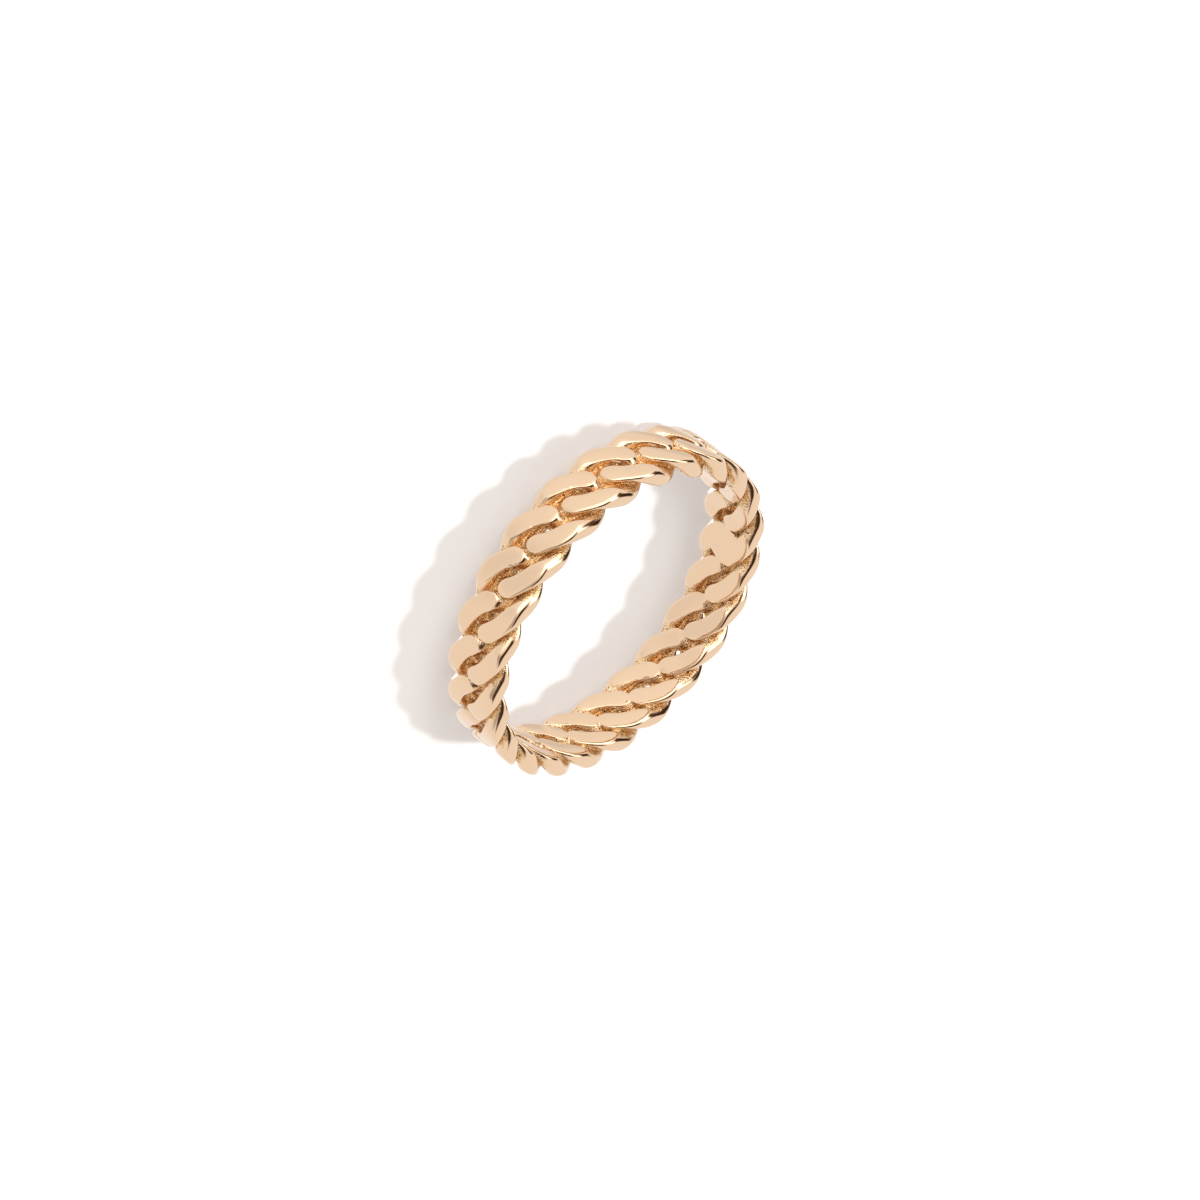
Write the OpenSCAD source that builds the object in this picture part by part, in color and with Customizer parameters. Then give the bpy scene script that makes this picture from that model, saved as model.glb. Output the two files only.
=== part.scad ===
// Curb link finger ring, cast in one piece of yellow gold.
// It lies on its side: the ring's axis is Z, the floor is z = 0.

/* [Ring] */
// Inside diameter, the finger size
finger_d = 17.3; // [15:0.1:21]
// Thickness of the band from the finger to the outside
band_wall = 1.24; // [1.1:0.02:1.3]
// Width of the band along the finger
band_w = 3.57; // [3.4:0.01:3.7]

/* [Links] */
// Number of links round the ring
link_count = 23; // [21:1:24]
// Outside length of one link before the band is filed flat
link_len = 5.33; // [5.2:0.01:5.5]
// Outside width of one link before the band is filed flat
link_w = 3.75; // [3.6:0.01:3.8]
// Thickness of the link's wire
wire_d = 1.08; // [1:0.02:1.2]
// Twist of a link from its middle to each end, in degrees
link_twist = 54.5; // [50:0.5:58]
// Fullness of the link's outline, 2 is an ellipse
link_fullness = 2.4; // [2.1:0.1:2.6]
// How far the links crowd together on one side, in degrees
crowding = 2; // [0:0.1:2.2]

/* [Web] */
// Thickness of the cast web between the links, from the finger outwards
web_t = 0.64; // [0.5:0.02:0.8]
// Width of the web along the finger
web_w = 2.4; // [2:0.1:2.8]
// Hole left open in the web between two links
web_hole_d = 0.42; // [0.3:0.02:0.5]

/* [Pad] */
// Width of the plain pad on the finger side
pad_w = 2.3; // [1.8:0.1:2.6]
// Thickness of the pad
pad_t = 0.45; // [0.3:0.05:0.6]
// Where the pad sits round the ring, in degrees
pad_angle = 136.5; // [0:0.5:360]

/* [Hidden] */
inner_r = finger_d / 2;
outer_r = inner_r + band_wall;
mid_r = (inner_r + outer_r) / 2;
half_len = (link_len - wire_d) / 2;
half_w = (link_w - wire_d) / 2;
first_link = 208.8;
crowded_side = 320;
steps = 12;
lap = 0.1;
wire_sides = 6;
// Corners stand as far outside the round wire as the flats lie inside it
corner_r = wire_d / 2 * 2 / (1 + cos(180 / wire_sides));
wall_sides = link_count * 3;
web_hole_sides = 6;
pad_sides = 20;
past = 1;

// A power that keeps the sign, for the outline between oval and box
function full(v) = sign(v) * pow(abs(v), 2 / link_fullness);

// Middle of the wire at turn t, bent round the ring's mid radius
function wire_mid(t) =
    let (along = half_len * full(cos(t)),
         across = half_w * full(sin(t)),
         lean = link_twist * along / half_len,
         r = mid_r + across * sin(lean),
         a = along / mid_r * 180 / PI)
    [r * cos(a), r * sin(a), across * cos(lean)];

function unit(v) = v / norm(v);

// Ring of points round the wire at turn t, square to its run
function wire_section(t) =
    let (mid = wire_mid(t),
         run = unit(wire_mid(t + 1) - wire_mid(t - 1)),
         side = unit(cross(run, [1, 0, 0])),
         rise = cross(side, run))
    [for (i = [0:wire_sides - 1])
        let (a = 360 * i / wire_sides)
        mid + corner_r * (cos(a) * side + sin(a) * rise)];

// Point of a low peak that stands on the section at turn t, before or behind it
function section_peak(t, way) =
    wire_mid(t) + way * lap * unit(wire_mid(t + 1) - wire_mid(t - 1));

// Angle of link k, with the links a little closer on the crowded side
function link_angle(k) =
    let (even = first_link + 360 * k / link_count)
    even + crowding * cos(even - crowded_side);

// One closed twisted link, in short lengths of wire whose peaked ends overlap
module link() {
    for (i = [0:steps - 1]) {
        from = 360 * i / steps;
        to = 360 * (i + 1) / steps;
        points = concat(wire_section(from), wire_section(to),
                        [section_peak(from, -1), section_peak(to, 1)]);
        hull() polyhedron(points, [[for (n = [0:len(points) - 1]) n]]);
    }
}

// Thin cast web that ties the links together, with a hole in each gap
module web() {
    difference() {
        rotate_extrude($fn = wall_sides)
            translate([mid_r, 0]) square([web_t, web_w], center = true);
        for (k = [0:link_count - 1])
            rotate((link_angle(k) + link_angle(k + 1)) / 2) translate([inner_r, 0, 0])
                rotate([0, 90, 0]) cylinder(h = band_wall, d = web_hole_d, $fn = web_hole_sides);
    }
}

// Limits of the filed band: flat sides, round outside and finger hole
module band_limits() {
    difference() {
        cylinder(h = band_w, r = outer_r, center = true, $fn = wall_sides);
        cylinder(h = band_w + past, r = inner_r, center = true, $fn = wall_sides);
    }
}

// Plain pad that fills the gap between two links on the finger side
module pad() {
    rotate(pad_angle) translate([inner_r - past, 0, 0]) rotate([0, 90, 0])
        cylinder(h = pad_t + past, d = pad_w, $fn = pad_sides);
}

module link_band() {
    color("#EBCDAC") translate([0, 0, band_w / 2]) intersection() {
        union() {
            for (k = [0:link_count - 1]) rotate(link_angle(k)) link();
            web();
            pad();
        }
        band_limits();
    }
}

link_band();
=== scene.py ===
import math
import time
import bpy
from mathutils import Matrix, Vector


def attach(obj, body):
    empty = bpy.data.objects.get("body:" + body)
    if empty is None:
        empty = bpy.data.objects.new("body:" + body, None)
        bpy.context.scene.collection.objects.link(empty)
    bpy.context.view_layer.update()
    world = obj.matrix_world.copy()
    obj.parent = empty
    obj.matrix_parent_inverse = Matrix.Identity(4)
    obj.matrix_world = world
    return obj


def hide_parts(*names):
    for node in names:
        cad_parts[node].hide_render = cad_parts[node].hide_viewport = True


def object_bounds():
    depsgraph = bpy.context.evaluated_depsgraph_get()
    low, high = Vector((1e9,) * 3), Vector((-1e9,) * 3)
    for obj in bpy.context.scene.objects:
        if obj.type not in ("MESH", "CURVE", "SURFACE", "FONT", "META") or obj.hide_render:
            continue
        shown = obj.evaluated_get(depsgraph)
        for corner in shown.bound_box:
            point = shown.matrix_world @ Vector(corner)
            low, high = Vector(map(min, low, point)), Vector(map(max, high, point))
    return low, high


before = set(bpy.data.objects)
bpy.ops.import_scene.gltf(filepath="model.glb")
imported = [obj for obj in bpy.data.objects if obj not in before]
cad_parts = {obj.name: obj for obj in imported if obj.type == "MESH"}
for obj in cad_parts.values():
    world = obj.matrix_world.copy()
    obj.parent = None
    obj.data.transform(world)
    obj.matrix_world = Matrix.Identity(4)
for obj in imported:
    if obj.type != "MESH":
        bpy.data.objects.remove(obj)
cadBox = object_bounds()
startTime = time.time()
mm = 0.001


# short helpers for node trees
def addNode(tree, kind, inputs=None, **settings):
    node = tree.nodes.new(kind)
    for name, value in settings.items():
        setattr(node, name, value)
    for name, value in (inputs or {}).items():
        socket = node.inputs[name]
        if isinstance(value, bpy.types.NodeSocket):
            tree.links.new(value, socket)
        else:
            socket.default_value = value
    return node


def calc(tree, operation, a, b=0.0, c=0.0):
    return addNode(tree, "ShaderNodeMath", {0: a, 1: b, 2: c}, operation=operation).outputs[0]


def ramp(tree, value, start, end, low=0.0, high=1.0, shape="LINEAR"):
    inputs = {"Value": value, "From Min": start, "From Max": end, "To Min": low, "To Max": high}
    return addNode(tree, "ShaderNodeMapRange", inputs, interpolation_type=shape).outputs[0]


def mix(tree, factor, low, high, kind="FLOAT", way="MIX"):
    inputs = {"Factor": factor, "A": low, "B": high}
    return addNode(tree, "ShaderNodeMix", inputs, data_type=kind, blend_type=way).outputs["Result"]


def vector(tree, x=0.0, y=0.0, z=0.0):
    return addNode(tree, "ShaderNodeCombineXYZ", {0: x, 1: y, 2: z}).outputs[0]


def partsOf(tree, value):
    return addNode(tree, "ShaderNodeSeparateXYZ", {0: value}).outputs


def fromAxis(tree, place):
    # distance from the ring's axis
    part = partsOf(tree, place)
    flat = vector(tree, part[0], part[1])
    return addNode(tree, "ShaderNodeVectorMath", {0: flat}, operation="LENGTH").outputs["Value"]


def keepSignPower(tree, value, power):
    size = calc(tree, "POWER", calc(tree, "ABSOLUTE", value), power)
    return calc(tree, "MULTIPLY", size, calc(tree, "SIGN", value))


# helpers for geometry only
def position(tree):
    return tree.nodes.new("GeometryNodeInputPosition").outputs[0]


def normal(tree):
    return tree.nodes.new("GeometryNodeInputNormal").outputs[0]


def circle(tree, steps, radius=1.0):
    return addNode(tree, "GeometryNodeCurvePrimitiveCircle", {"Resolution": steps, "Radius": radius},
                   mode="RADIUS").outputs[0]


def cylinder(tree, sides, radius, depth):
    return addNode(tree, "GeometryNodeMeshCylinder",
                   {"Vertices": sides, "Radius": radius, "Depth": depth}).outputs[0]


def moved(tree, geometry, **change):
    # change is a translation, a rotation or a scale
    inputs = {name.capitalize(): value for name, value in change.items()}
    return addNode(tree, "GeometryNodeTransform", {"Geometry": geometry, **inputs}).outputs[0]


def placed(tree, geometry, place):
    return addNode(tree, "GeometryNodeSetPosition", {"Geometry": geometry, "Position": place}).outputs[0]


def resampled(tree, curve, count):
    return addNode(tree, "GeometryNodeResampleCurve", {"Curve": curve, "Count": count},
                   mode="COUNT").outputs[0]


def swept(tree, curve, section):
    return addNode(tree, "GeometryNodeCurveToMesh", {"Curve": curve, "Profile Curve": section}).outputs[0]


def combined(tree, operation, meshes, cutFrom=None):
    node = addNode(tree, "GeometryNodeMeshBoolean", {"Mesh 1": cutFrom} if cutFrom else {},
                   operation=operation, solver="MANIFOLD")
    for mesh in meshes:
        tree.links.new(mesh, node.inputs["Mesh 2"])
    return node.outputs[0]


def smoothShaded(tree, geometry):
    return addNode(tree, "GeometryNodeSetShadeSmooth",
                   {"Geometry": geometry, "Shade Smooth": True}).outputs[0]


def stored(tree, geometry, name, value, kind="FLOAT"):
    return addNode(tree, "GeometryNodeStoreNamedAttribute",
                   {"Geometry": geometry, "Name": name, "Value": value},
                   data_type=kind, domain="POINT").outputs[0]


def recalled(tree, name, kind="FLOAT"):
    return addNode(tree, "GeometryNodeInputNamedAttribute", {"Name": name}, data_type=kind).outputs[0]


def recalledNearby(tree, mesh, name):
    # what the nearest point of another surface remembers
    return addNode(tree, "GeometryNodeSampleNearestSurface",
                   {"Mesh": mesh, "Value": recalled(tree, name)}, data_type="FLOAT").outputs[0]


def surfaceOf(tree, piece):
    return addNode(tree, "GeometryNodeObjectInfo", {"Object": piece}).outputs["Geometry"]


def newTree(name):
    tree = bpy.data.node_groups.new(name, "GeometryNodeTree")
    tree.interface.new_socket(name="Geometry", in_out="OUTPUT", socket_type="NodeSocketGeometry")
    return tree


def closeTree(tree, geometry):
    whole = addNode(tree, "GeometryNodeRealizeInstances", {"Geometry": geometry}).outputs[0]
    whole = addNode(tree, "GeometryNodeSetMaterial", {"Geometry": whole, "Material": ringGold}).outputs[0]
    tree.links.new(whole, tree.nodes.new("NodeGroupOutput").inputs[0])


def addTreeInput(tree, name, value):
    kind = "NodeSocketInt" if isinstance(value, int) else "NodeSocketFloat"
    socket = tree.interface.new_socket(name=name, in_out="INPUT", socket_type=kind)
    socket.default_value = value
    return socket.identifier


def addPiece(name, data):
    piece = bpy.data.objects.new(name, data)
    bpy.context.scene.collection.objects.link(piece)
    return piece


def addNodesModifier(piece, tree, values):
    modifier = piece.modifiers.new(tree.name, "NODES")
    modifier.node_group = tree
    for socket, value in values.items():
        modifier[socket] = value


def bakeModifiers(piece, name):
    graph = bpy.context.evaluated_depsgraph_get()
    mesh = bpy.data.meshes.new_from_object(piece.evaluated_get(graph))
    piece.modifiers.clear()
    bpy.data.objects.remove(piece)
    mesh.name = name
    return addPiece(name, mesh)


# the ring as it is filed, in millimetres and degrees: the cast solid's sizes, but for the web
band = {
    "fingerDiameter": 17.3,
    "linkCount": 23,
    "linkLength": 5.33,
    "linkWidth": 3.75,
    "wireWidth": 1.08,
    "wireThickness": 1.08,
    "wireSquareness": 2.1,   # 2 is a round wire, more is squarer
    "twist": 54.5,           # from a link's middle to each end
    "fullness": 2.4,         # 2 is an oval link
    "firstLink": 208.8,      # where the first link stands
    "crowding": 2.0,         # how far the links drift together
    "crowdedSide": 320.0,    # where they drift most, and a quarter turn on they stand closest
    "webThickness": 0.38,    # thinner than in the solid, for recesses as deep as on a real ring
    "webWidth": 2.4,
    "webHole": 0.55,
    "padWidth": 2.3,
    "padThickness": 0.45,
    "padAngle": 136.5,
    "outerSideFrom": 0.3,    # the wire's outer side begins at this share of its half width
    "outerSideTo": 0.6,
    "ovalSteps": 480,        # points on the plain oval, before the link's own steps
    "linkSteps": 120,        # points along one link's wire
    "sectionSteps": 240,     # points on the plain round section, before the wire's own sides
    "wireSides": 36,         # points round the wire
    "wallSides": 414,        # flats round the filed outside and the finger hole
    "webSides": 32,
    "holeSides": 24,
    "padSides": 64,
}
bandWidth = (cadBox[1][2] - cadBox[0][2]) / mm
outerRadius = cadBox[1][0] / mm
innerRadius = band["fingerDiameter"] / 2


def buildWireMiddle(tree, size):
    # an oval, twisted from end to end and bent round the finger
    place = partsOf(tree, position(tree))
    along = keepSignPower(tree, place[0], size["Outline Power"])
    across = keepSignPower(tree, place[1], size["Outline Power"])
    lean = calc(tree, "MULTIPLY", along, size["Twist"])
    along = calc(tree, "MULTIPLY", along, size["Half Length"])
    across = calc(tree, "MULTIPLY", across, size["Half Width"])
    angle = calc(tree, "DIVIDE", along, size["Mid Radius"])
    leanSine = calc(tree, "SINE", lean)
    leanCosine = calc(tree, "COSINE", lean)
    sine = calc(tree, "SINE", angle)
    cosine = calc(tree, "COSINE", angle)
    radius = calc(tree, "ADD", size["Mid Radius"], calc(tree, "MULTIPLY", across, leanSine))
    bent = vector(tree, calc(tree, "MULTIPLY", radius, cosine), calc(tree, "MULTIPLY", radius, sine),
                  calc(tree, "MULTIPLY", across, leanCosine))

    # the wire's thickness stands square to the twisted oval
    slope = calc(tree, "DIVIDE", size["Twist"], size["Half Length"])
    sweep = calc(tree, "MULTIPLY", calc(tree, "MULTIPLY", across, slope), -1.0)
    squareX = calc(tree, "SUBTRACT", calc(tree, "MULTIPLY", leanCosine, cosine),
                   calc(tree, "MULTIPLY", sweep, sine))
    squareY = calc(tree, "ADD", calc(tree, "MULTIPLY", leanCosine, sine),
                   calc(tree, "MULTIPLY", sweep, cosine))
    square = vector(tree, squareX, squareY, calc(tree, "MULTIPLY", leanSine, -1.0))
    wire = stored(tree, circle(tree, size["Oval Steps"]), "square", square, "FLOAT_VECTOR")
    wire = resampled(tree, placed(tree, wire, bent), size["Link Steps"])
    return addNode(tree, "GeometryNodeSetCurveNormal",
                   {"Curve": wire, "Normal": recalled(tree, "square", "FLOAT_VECTOR")},
                   mode="FREE").outputs[0]


def buildWireSection(tree, size):
    # between round and square, and its points remember the wire's outer side
    place = partsOf(tree, position(tree))
    outerSide = ramp(tree, place[1], size["Outer Side From"], size["Outer Side To"])
    thick = keepSignPower(tree, place[0], size["Wire Power"])
    wide = keepSignPower(tree, place[1], size["Wire Power"])
    shape = vector(tree, calc(tree, "MULTIPLY", thick, size["Wire Half Thickness"]),
                   calc(tree, "MULTIPLY", wide, size["Wire Half Width"]))
    section = stored(tree, circle(tree, size["Section Steps"]), "outerSide", outerSide)
    return resampled(tree, placed(tree, section, shape), size["Wire Sides"])


def repeatRound(tree, size, piece, step):
    # one for each link, a little closer on one side; a step of 0.5 puts it in the gap after its link
    points = addNode(tree, "GeometryNodePoints", {"Count": size["Link Count"]}).outputs[0]
    pitch = calc(tree, "DIVIDE", 2 * math.pi, size["Link Count"])
    index = tree.nodes.new("GeometryNodeInputIndex").outputs[0]
    even = calc(tree, "MULTIPLY_ADD", index, pitch, size["First Link"])
    even = calc(tree, "MULTIPLY_ADD", pitch, step, even)
    drift = calc(tree, "COSINE", calc(tree, "SUBTRACT", even, size["Crowded Side"]))
    turn = vector(tree, z=calc(tree, "MULTIPLY_ADD", drift, size["Crowding"], even))
    return addNode(tree, "GeometryNodeInstanceOnPoints",
                   {"Points": points, "Instance": piece, "Rotation": turn}).outputs[0]


def buildWeb(tree, size):
    # a thin cast web ties the links together, with a hole in each gap
    section = moved(tree, circle(tree, size["Web Sides"], 0.5),   # one wide, then scaled
                    scale=vector(tree, size["Web Thickness"], size["Web Width"], 1.0))
    web = swept(tree, circle(tree, size["Wall Sides"], size["Mid Radius"]), section)
    hole = moved(tree, cylinder(tree, size["Hole Sides"], size["Web Hole"], size["Wall"]),
                 translation=vector(tree, size["Mid Radius"]), rotation=(0, math.pi / 2, 0))
    return combined(tree, "DIFFERENCE", [repeatRound(tree, size, hole, 0.5)], web)


def buildPad(tree, size, holeRadius):
    # the plain pad on the finger side
    depth = calc(tree, "MULTIPLY", size["Pad Thickness"], 2.0)
    pad = moved(tree, cylinder(tree, size["Pad Sides"], size["Pad Radius"], depth),
                translation=vector(tree, holeRadius), rotation=(0, math.pi / 2, 0))
    return moved(tree, pad, rotation=vector(tree, z=size["Pad Angle"]))


def buildLinkTree():
    tree = newTree("curbLinkBand")
    sizes = {
        "Link Count": band["linkCount"],
        "Oval Steps": band["ovalSteps"],
        "Link Steps": band["linkSteps"],
        "Section Steps": band["sectionSteps"],
        "Wire Sides": band["wireSides"],
        "Wall Sides": band["wallSides"],
        "Web Sides": band["webSides"],
        "Hole Sides": band["holeSides"],
        "Pad Sides": band["padSides"],
        "Mid Radius": (innerRadius + outerRadius) / 2,
        "Wall": outerRadius - innerRadius,
        "Band Width": bandWidth,
        "Half Length": (band["linkLength"] - band["wireWidth"]) / 2,
        "Half Width": (band["linkWidth"] - band["wireWidth"]) / 2,
        "Wire Half Width": band["wireWidth"] / 2,
        "Wire Half Thickness": band["wireThickness"] / 2,
        "Wire Power": 2 / band["wireSquareness"],
        "Outer Side From": band["outerSideFrom"],
        "Outer Side To": band["outerSideTo"],
        "Twist": math.radians(band["twist"]),
        "Outline Power": 2 / band["fullness"],
        "First Link": math.radians(band["firstLink"]),
        "Crowding": math.radians(band["crowding"]),
        "Crowded Side": math.radians(band["crowdedSide"]),
        "Web Thickness": band["webThickness"],
        "Web Width": band["webWidth"],
        "Web Hole": band["webHole"] / 2,
        "Pad Radius": band["padWidth"] / 2,
        "Pad Thickness": band["padThickness"],
        "Pad Angle": math.radians(band["padAngle"]),
    }
    values = {addTreeInput(tree, name, value): value for name, value in sizes.items()}
    filedSwitch = addTreeInput(tree, "Filed", 1)
    size = tree.nodes.new("NodeGroupInput").outputs
    halfWall = calc(tree, "DIVIDE", size["Wall"], 2.0)
    holeRadius = calc(tree, "SUBTRACT", size["Mid Radius"], halfWall)
    filedRadius = calc(tree, "ADD", size["Mid Radius"], halfWall)
    lift = vector(tree, z=calc(tree, "DIVIDE", size["Band Width"], 2.0))

    link = swept(tree, buildWireMiddle(tree, size), buildWireSection(tree, size))
    links = repeatRound(tree, size, link, 0.0)
    fused = combined(tree, "UNION", [links, buildPad(tree, size, holeRadius), buildWeb(tree, size)])

    # filed flat: outside, finger hole and both sides
    outside = cylinder(tree, size["Wall Sides"], filedRadius, size["Band Width"])
    hole = cylinder(tree, size["Wall Sides"], holeRadius, calc(tree, "MULTIPLY", size["Band Width"], 2.0))
    filed = combined(tree, "INTERSECT", [fused, outside])
    filed = combined(tree, "DIFFERENCE", [hole], filed)
    filed = smoothShaded(tree, moved(tree, filed, translation=lift))

    # each point remembers whether it lies on the outer side of a link
    looseLinks = addNode(tree, "GeometryNodeRealizeInstances", {"Geometry": links}).outputs[0]
    looseLinks = moved(tree, looseLinks, translation=lift)
    filed = stored(tree, filed, "outerSide", recalledNearby(tree, looseLinks, "outerSide"))
    unfiled = moved(tree, fused, translation=lift)
    chosen = addNode(tree, "GeometryNodeSwitch", {"Switch": size["Filed"], "False": unfiled, "True": filed},
                     input_type="GEOMETRY")
    closeTree(tree, chosen.outputs[0])
    return tree, values, filedSwitch


# what polishing and casting leave on the surface, in millimetres
finish = {
    "voxel": 0.036,            # fine rebuild, so that every edge can soften a little
    "softening": 3,            # rounds of smoothing on every edge
    "shoulderSoftening": 30,   # and on the shoulders, which the wheel rounds more
    "shoulderFrom": 0.8,       # the shoulders, from the middle of the band's width
    "shoulderTo": 1.3,
    "polishDepth": 0.045,      # the polishing wheel reaches this far below the filed walls
    "shoulderDepth": 0.32,     # and this far on the shoulders, from the outside
    "fingerDepth": 0.10,       # and from the finger hole
    "castFrom": 0.7,           # the cast surface begins at this share of the wheel's reach
    "castTo": 1.2,
    "flankDepth": 0.38,        # the links' sides shine down to this far below the outside
    "flankFade": 0.7,          # and fade from this share of that depth on
    "flankFrom": 0.45,         # a side shines where it looks this squarely to the ring's sides
    "flankTo": 0.65,
    "flankShine": 0.8,         # 1 is as polished as the flats
    "domeShare": 0.14,         # a flat stands proud in its middle by this share of what was filed away
    "domeLimit": 0.25,         # and no more is counted as filed away than this
    "grainSize": 0.11,
    "grainHeight": 0.06,
    "grainDetail": 2.0,
    "speckPoints": 5000.0,     # a loose speck of the rebuild has fewer points than this
    "triangles": 185000,       # of the ring, once it is thinned
    "seed": 7.0,
}


def depthFromSides(tree, size):
    height = partsOf(tree, position(tree))[2]
    return calc(tree, "MINIMUM", height, calc(tree, "SUBTRACT", size["Band Width"], height))


def shoulderShare(tree, size):
    # 0 in the middle of the band's width, 1 towards both sides
    offMiddle = calc(tree, "SUBTRACT", calc(tree, "DIVIDE", size["Band Width"], 2.0),
                     depthFromSides(tree, size))
    return ramp(tree, offMiddle, size["Shoulder From"], size["Shoulder To"], shape="SMOOTHSTEP")


def castMask(tree, size, filedBand):
    # 1 on surfaces that only the mould has shaped, 0 where the polishing wheel has been
    radius = fromAxis(tree, position(tree))
    fromOutside = calc(tree, "SUBTRACT", size["Outer Radius"], radius)
    fromFinger = calc(tree, "SUBTRACT", radius, size["Inner Radius"])
    depth = calc(tree, "MINIMUM", calc(tree, "MINIMUM", fromOutside, fromFinger),
                 depthFromSides(tree, size))
    shoulder = shoulderShare(tree, size)
    onOutside = calc(tree, "LESS_THAN", fromOutside, fromFinger)
    furthest = mix(tree, onOutside, size["Finger Depth"], size["Shoulder Depth"])
    reach = mix(tree, shoulder, size["Polish Depth"], furthest)
    beyondReach = ramp(tree, calc(tree, "DIVIDE", depth, reach), size["Cast From"], size["Cast To"],
                       shape="SMOOTHSTEP")
    outerSide = recalledNearby(tree, surfaceOf(tree, filedBand), "outerSide")
    wheeled = calc(tree, "MULTIPLY", outerSide, shoulder)

    # the links' sides shine too, close below the outside
    lookAside = calc(tree, "ABSOLUTE", partsOf(tree, normal(tree))[2])
    aside = ramp(tree, lookAside, size["Flank From"], size["Flank To"], shape="SMOOTHSTEP")
    brightTo = calc(tree, "MULTIPLY", size["Flank Depth"], size["Flank Fade"])
    near = ramp(tree, fromOutside, size["Flank Depth"], brightTo, shape="SMOOTHSTEP")
    flank = calc(tree, "MULTIPLY", calc(tree, "MULTIPLY", aside, near), size["Flank Shine"])
    polished = calc(tree, "MAXIMUM", wheeled, flank)
    return calc(tree, "MULTIPLY", beyondReach, calc(tree, "SUBTRACT", 1.0, polished))


def addSurfaceInputs(tree):
    tree.interface.new_socket(name="Geometry", in_out="INPUT", socket_type="NodeSocketGeometry")
    sizes = {
        "Outer Radius": outerRadius,
        "Inner Radius": innerRadius,
        "Band Width": bandWidth,
        "Shoulder From": finish["shoulderFrom"],
        "Shoulder To": finish["shoulderTo"],
        "Shoulder Softening": finish["shoulderSoftening"],
        "Polish Depth": finish["polishDepth"],
        "Shoulder Depth": finish["shoulderDepth"],
        "Finger Depth": finish["fingerDepth"],
        "Cast From": finish["castFrom"],
        "Cast To": finish["castTo"],
        "Flank Depth": finish["flankDepth"],
        "Flank Fade": finish["flankFade"],
        "Flank From": finish["flankFrom"],
        "Flank To": finish["flankTo"],
        "Flank Shine": finish["flankShine"],
        "Dome Share": finish["domeShare"],
        "Dome Limit": finish["domeLimit"],
        "Grain Size": finish["grainSize"],
        "Grain Height": finish["grainHeight"],
        "Grain Detail": finish["grainDetail"],
        "Speck Points": finish["speckPoints"],
        "Seed": finish["seed"],
    }
    values = {addTreeInput(tree, name, value): value for name, value in sizes.items()}
    return values, tree.nodes.new("NodeGroupInput").outputs


def buildGrainTree(filedBand, unfiledBand):
    tree = newTree("castGrain")
    values, size = addSurfaceInputs(tree)

    # the fine rebuild leaves a few loose specks, which go
    island = tree.nodes.new("GeometryNodeInputMeshIsland").outputs["Island Index"]
    points = addNode(tree, "GeometryNodeAccumulateField", {"Value": 1.0, "Group ID": island},
                     data_type="FLOAT", domain="POINT").outputs["Total"]
    speck = calc(tree, "LESS_THAN", points, size["Speck Points"])
    whole = addNode(tree, "GeometryNodeDeleteGeometry", {"Geometry": size["Geometry"], "Selection": speck},
                    domain="POINT").outputs[0]

    # the wheel rounds the edges on both shoulders more than in the middle
    rounded = addNode(tree, "GeometryNodeBlurAttribute",
                      {"Value": position(tree), "Iterations": size["Shoulder Softening"],
                       "Weight": shoulderShare(tree, size)}, data_type="FLOAT_VECTOR").outputs[0]
    whole = placed(tree, whole, rounded)
    whole = stored(tree, whole, "cast", castMask(tree, size, filedBand))

    # the wheel leaves each flat a little domed, and the mould leaves grain in the hollows
    filedAway = addNode(tree, "GeometryNodeProximity", {0: surfaceOf(tree, unfiledBand)},
                        target_element="FACES").outputs["Distance"]
    dome = calc(tree, "MULTIPLY", calc(tree, "MINIMUM", filedAway, size["Dome Limit"]), size["Dome Share"])
    noise = addNode(tree, "ShaderNodeTexNoise",
                    {"W": size["Seed"], "Scale": calc(tree, "DIVIDE", 1.0, size["Grain Size"]),
                     "Detail": size["Grain Detail"]}, noise_dimensions="4D").outputs[0]
    grain = calc(tree, "MULTIPLY", calc(tree, "SUBTRACT", noise, 0.5), size["Grain Height"])
    height = calc(tree, "MULTIPLY_ADD", grain, recalled(tree, "cast"), dome)
    offset = addNode(tree, "ShaderNodeVectorMath", {0: normal(tree), "Scale": height},
                     operation="SCALE").outputs["Vector"]
    whole = addNode(tree, "GeometryNodeSetPosition", {"Geometry": whole, "Offset": offset}).outputs[0]
    closeTree(tree, whole)
    return tree, values


def buildMaskTree(grainedBand):
    # the thinned mesh takes over the cast mask of the fine one
    tree = newTree("castMask")
    tree.interface.new_socket(name="Geometry", in_out="INPUT", socket_type="NodeSocketGeometry")
    whole = tree.nodes.new("NodeGroupInput").outputs[0]
    cast = recalledNearby(tree, surfaceOf(tree, grainedBand), "cast")
    whole = smoothShaded(tree, stored(tree, whole, "cast", cast))
    closeTree(tree, whole)
    return tree, {}


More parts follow.
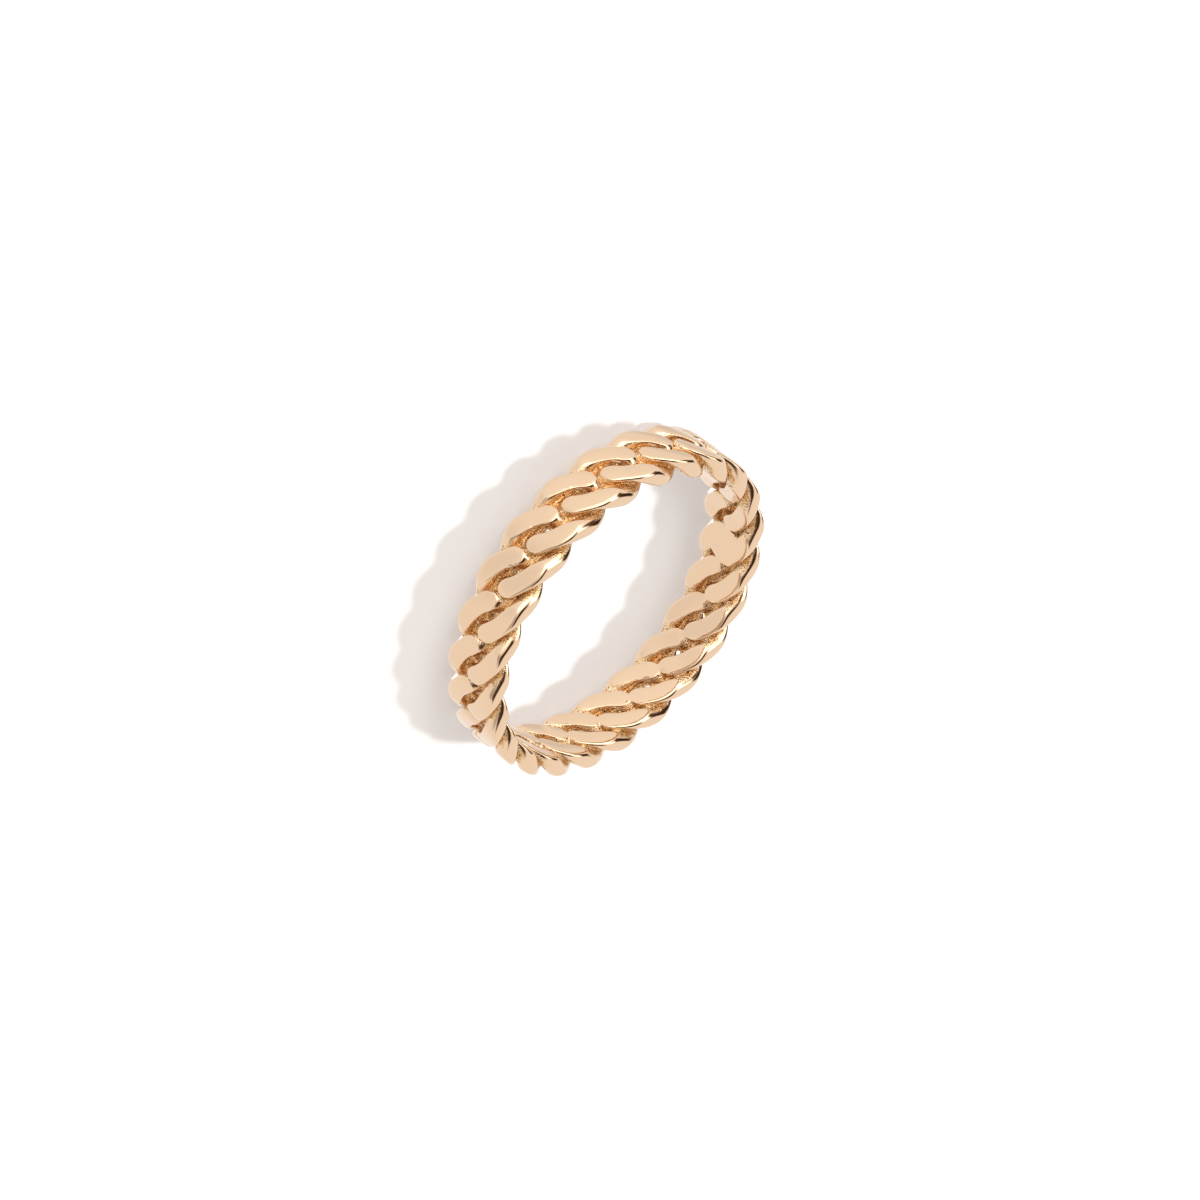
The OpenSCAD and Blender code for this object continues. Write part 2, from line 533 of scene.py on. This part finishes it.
# one gold, polished on the flats and as cast in the recesses, where painted shade and painted glints are
# laid into the cast colour
gold = {
    "polishedColor": (0.80, 0.588, 0.40, 1.0),
    "polishedRoughness": 0.12,
    "castColor": (0.93, 0.67, 0.38, 1.0),
    "castRoughness": 0.24,
    # painted shade: dark brown spots stand for the shade in the tiny pits of the cast grain
    "pitShadeColor": (0.26, 0.10, 0.02, 1.0),
    "pitShadeNoise": (8500.0, 2.0),        # each noise has its bumps per metre and its detail
    "pitShadeRange": (0.36, 0.46),
    # painted highlight: near-white glints stand for sparkles on the cast grain
    "paintedGlintColor": (1.0, 0.97, 0.86, 1.0),
    "paintedGlintNoise": (11000.0, 1.0),
    "paintedGlintRange": (0.57, 0.63),
    # painted shade: the recesses grow darker and warmer deep between the links
    "deepShadeTint": (0.85, 0.69, 0.48, 1.0),   # light bounces from gold to gold deep between the links
    "deepShadeRange": (0.2, 0.5),          # millimetres below the filed walls
    "grainNoise": (11000.0, 3.0),     # finer than the modelled grain
    "grainBump": 0.08,                # millimetres
    "shadeNoise": (900.0, 3.0),       # soft clouds in the gloss
    "shadeSpread": 0.06,
}


def makeGold():
    material = bpy.data.materials.new("ringGold")
    material.use_nodes = True
    tree = material.node_tree
    shader = tree.nodes["Principled BSDF"]
    shader.inputs["Metallic"].default_value = 1.0
    cast = addNode(tree, "ShaderNodeAttribute", attribute_name="cast").outputs["Fac"]
    place = tree.nodes.new("ShaderNodeTexCoord").outputs["Object"]

    def noise(scale, detail):
        return addNode(tree, "ShaderNodeTexNoise",
                       {"Vector": place, "Scale": scale, "Detail": detail}).outputs[0]

    radius = fromAxis(tree, place)
    wallDepth = calc(tree, "MINIMUM", calc(tree, "SUBTRACT", outerRadius * mm, radius),
                     calc(tree, "SUBTRACT", radius, innerRadius * mm))
    # painted shade in the grain's pits: the cast colour turns dark brown in spots
    outsidePitShade = ramp(tree, noise(*gold["pitShadeNoise"]), *gold["pitShadeRange"])
    castColor = mix(tree, outsidePitShade, gold["pitShadeColor"], gold["castColor"], "RGBA")
    # painted glints: near-white spots stand for sparkles on the grain
    paintedGlint = ramp(tree, noise(*gold["paintedGlintNoise"]), *gold["paintedGlintRange"])
    castColor = mix(tree, paintedGlint, castColor, gold["paintedGlintColor"], "RGBA")
    # painted shade: a multiplied tint darkens the cast colour deep between the links
    deepShade = ramp(tree, wallDepth, *(depth * mm for depth in gold["deepShadeRange"]))
    castColor = mix(tree, deepShade, castColor, gold["deepShadeTint"], "RGBA", "MULTIPLY")
    color = mix(tree, cast, gold["polishedColor"], castColor, "RGBA")
    tree.links.new(color, shader.inputs["Base Color"])

    rough = ramp(tree, cast, 0.0, 1.0, gold["polishedRoughness"], gold["castRoughness"])
    shade = calc(tree, "SUBTRACT", noise(*gold["shadeNoise"]), 0.5)
    rough = calc(tree, "MULTIPLY_ADD", shade, gold["shadeSpread"], rough)
    tree.links.new(rough, shader.inputs["Roughness"])
    bump = addNode(tree, "ShaderNodeBump", {"Strength": cast, "Distance": gold["grainBump"] * mm,
                                            "Height": noise(*gold["grainNoise"])})
    tree.links.new(bump.outputs["Normal"], shader.inputs["Normal"])
    return material


ringGold = makeGold()
linkTree, linkValues, filedSwitch = buildLinkTree()


def makeBand(name, values):
    piece = addPiece(name, bpy.data.meshes.new(name))
    addNodesModifier(piece, linkTree, values)
    return bakeModifiers(piece, name)


filedBand = makeBand("filedBand", linkValues)
# the band before filing, to tell how much was filed away over each point of a flat
unfiledBand = makeBand("unfiledBand", {**linkValues, filedSwitch: 0})
print("filed band", len(filedBand.data.polygons), "faces", round(time.time() - startTime, 1), "s")

fineBand = addPiece("fineBand", filedBand.data.copy())
rebuild = fineBand.modifiers.new("rebuild", "REMESH")
rebuild.mode = "VOXEL"
rebuild.voxel_size = finish["voxel"]
soften = fineBand.modifiers.new("soften", "SMOOTH")
soften.iterations = finish["softening"]
addNodesModifier(fineBand, *buildGrainTree(filedBand, unfiledBand))
fineBand = bakeModifiers(fineBand, "fineBand")
print("softened and grained", len(fineBand.data.polygons), "faces", round(time.time() - startTime, 1), "s")

ring = addPiece("linkBand", fineBand.data.copy())
thin = ring.modifiers.new("thin", "DECIMATE")
thin.ratio = finish["triangles"] / (2 * len(ring.data.polygons))   # a fine face counts as two triangles
addNodesModifier(ring, *buildMaskTree(fineBand))
ring = bakeModifiers(ring, "linkBand")
for helper in (filedBand, unfiledBand, fineBand):
    bpy.data.objects.remove(helper)
ring.data.transform(Matrix.Scale(mm, 4))
print("link band", len(ring.data.polygons), "faces", round(time.time() - startTime, 1), "s")

# studio: floor, light and camera, in metres and degrees where no other unit is named
studio = {
    "floorSize": 0.6,
    "floorDrop": 0.000014,   # just under the domed flats
    "floorColor": (0.46, 0.44, 0.425, 1.0),
    "floorGlow": (0.43, 0.41, 0.395, 1.0),   # a light table, lit from below
    "roomStrength": 1.06,
    "roomColor": (1.0, 0.975, 0.965, 1.0),
    "shadeColor": (1.0, 0.5, 0.22, 1.0),     # tint of the dark screens, warm from gold facing gold
    "tintBelow": 0.7,                        # brightness from which on a screen has the room's own colour
    # screens round the ring: azimuth, elevation, half width, half height, brightness, edge softness
    "screens": [
        (226.0, -5.0, 40.0, 30.0, 1.20, 1.0),
        (236.0, 16.0, 34.0, 20.0, 2.5, 0.6),
        (316.0, 14.0, 26.0, 18.0, 0.55, 0.5),
        (138.0, -34.0, 14.0, 14.0, 0.84, 0.6),
        (292.0, -34.0, 18.0, 18.0, 0.98, 0.6),
        (178.0, 58.0, 22.0, 13.0, 2.6, 0.25),
        (211.0, 33.0, 13.0, 22.0, 2.8, 0.35),
        (140.0, 33.0, 21.0, 19.0, 0.05, 0.25),
        (172.0, 28.0, 13.0, 18.0, 0.12, 0.4),
        (300.0, 70.0, 42.0, 22.0, 0.05, 0.3),
        (318.0, 48.0, 22.0, 15.0, 0.12, 0.4),
    ],
    "sunPlace": (111.0, 36.0),      # azimuth and elevation
    "sunStrength": 6.0,
    "sunColor": (0.92, 0.97, 1.0),
    "sunSize": 7.0,                 # width of the lamp in the sky, for a soft shadow
    "cameraHeightAngle": 30.47,
    "cameraRoll": 232.41,
    "cameraDistance": 324.0,        # millimetres
    "pixelsPerMm": 18.98,
    "imageSize": 1200,
    "ringCentre": (607.7, 602.0),   # where the ring's middle lies in the 1200 pixel frame
    "sensor": 36.0,                 # millimetres
    "clip": (0.01, 5.0),
}


def makeCamera():
    high = math.radians(studio["cameraHeightAngle"])
    roll = math.radians(studio["cameraRoll"])
    back = Vector((0, -math.cos(high), math.sin(high)))
    right = Vector((1, 0, 0))
    up = back.cross(right)
    imageRight = right * math.cos(roll) - up * math.sin(roll)
    imageUp = right * math.sin(roll) + up * math.cos(roll)
    half = studio["imageSize"] / 2
    offRight = (studio["ringCentre"][0] - half) / studio["pixelsPerMm"]
    offDown = (studio["ringCentre"][1] - half) / studio["pixelsPerMm"]
    middle = Vector((0, 0, bandWidth / 2))
    place = middle + back * studio["cameraDistance"] - imageRight * offRight + imageUp * offDown
    data = bpy.data.cameras.new("photoCamera")
    data.sensor_width = studio["sensor"]
    data.lens = studio["sensor"] * studio["cameraDistance"] * studio["pixelsPerMm"] / studio["imageSize"]
    data.clip_start, data.clip_end = studio["clip"]
    camera = addPiece("photoCamera", data)
    axes = Matrix((imageRight, imageUp, back)).transposed().to_4x4()
    camera.matrix_world = Matrix.Translation(place * mm) @ axes
    bpy.context.scene.camera = camera


def makeFloor():
    half = studio["floorSize"] / 2
    low = -studio["floorDrop"]
    corners = [(-half, -half, low), (half, -half, low), (half, half, low), (-half, half, low)]
    data = bpy.data.meshes.new("floor")
    data.from_pydata(corners, [], [(0, 1, 2, 3)])
    floor = addPiece("floor", data)
    material = bpy.data.materials.new("floorWhite")
    material.use_nodes = True
    shader = material.node_tree.nodes["Principled BSDF"]
    shader.inputs["Base Color"].default_value = studio["floorColor"]
    shader.inputs["Roughness"].default_value = 1.0
    shader.inputs["Specular IOR Level"].default_value = 0.0
    shader.inputs["Emission Color"].default_value = studio["floorGlow"]
    shader.inputs["Emission Strength"].default_value = 1.0
    data.materials.append(material)
    floor.visible_glossy = False


def towards(azimuth, elevation):
    turn = math.radians(azimuth)
    high = math.radians(elevation)
    return Vector((math.cos(turn) * math.cos(high), math.sin(turn) * math.cos(high), math.sin(high)))


def addScreen(tree, brightness, direction, screen):
    # an oval patch of the room, darker or brighter than the rest
    azimuth, elevation, halfWidth, halfHeight, level, softness = screen
    turned = addNode(tree, "ShaderNodeVectorRotate",
                     {"Vector": direction, "Angle": -math.radians(azimuth)}, rotation_type="Z_AXIS")
    turned = addNode(tree, "ShaderNodeVectorRotate",
                     {"Vector": turned.outputs[0], "Angle": math.radians(elevation)}, rotation_type="Y_AXIS")
    part = partsOf(tree, turned.outputs[0])
    across = calc(tree, "DIVIDE", calc(tree, "ARCTAN2", part[1], part[0]), math.radians(halfWidth))
    upward = calc(tree, "DIVIDE", calc(tree, "ARCTAN2", part[2], part[0]), math.radians(halfHeight))
    away = calc(tree, "SQRT", calc(tree, "ADD", calc(tree, "MULTIPLY", across, across),
                                   calc(tree, "MULTIPLY", upward, upward)))
    return ramp(tree, away, 1.0 - softness, 1.0 + softness, level, brightness, "SMOOTHSTEP")


def makeLight():
    # a white room with screens, which the polished edges reflect as thin dark and bright lines
    world = bpy.data.worlds.new("studioWorld")
    bpy.context.scene.world = world
    world.use_nodes = True
    tree = world.node_tree
    background = tree.nodes["Background"]
    direction = tree.nodes.new("ShaderNodeTexCoord").outputs["Generated"]
    brightness = studio["roomStrength"]
    for screen in studio["screens"]:
        brightness = addScreen(tree, brightness, direction, screen)
    lit = calc(tree, "MINIMUM", calc(tree, "DIVIDE", brightness, studio["tintBelow"]), 1.0)
    tint = mix(tree, lit, studio["shadeColor"], studio["roomColor"], "RGBA")
    tree.links.new(tint, background.inputs["Color"])
    tree.links.new(brightness, background.inputs["Strength"])
    lamp = bpy.data.lights.new("sideLight", "SUN")
    lamp.energy = studio["sunStrength"]
    lamp.color = studio["sunColor"]
    lamp.angle = math.radians(studio["sunSize"])
    light = addPiece("sideLight", lamp)
    light.visible_glossy = False   # the lamp gives the shadow, and the screens the reflections
    light.rotation_euler = (-towards(*studio["sunPlace"])).to_track_quat("-Z", "Y").to_euler()


makeCamera()
makeFloor()
makeLight()
bpy.context.scene.view_settings.view_transform = "Standard"
print("studio", round(time.time() - startTime, 1), "s")

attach(ring, "root")
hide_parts("link_band")
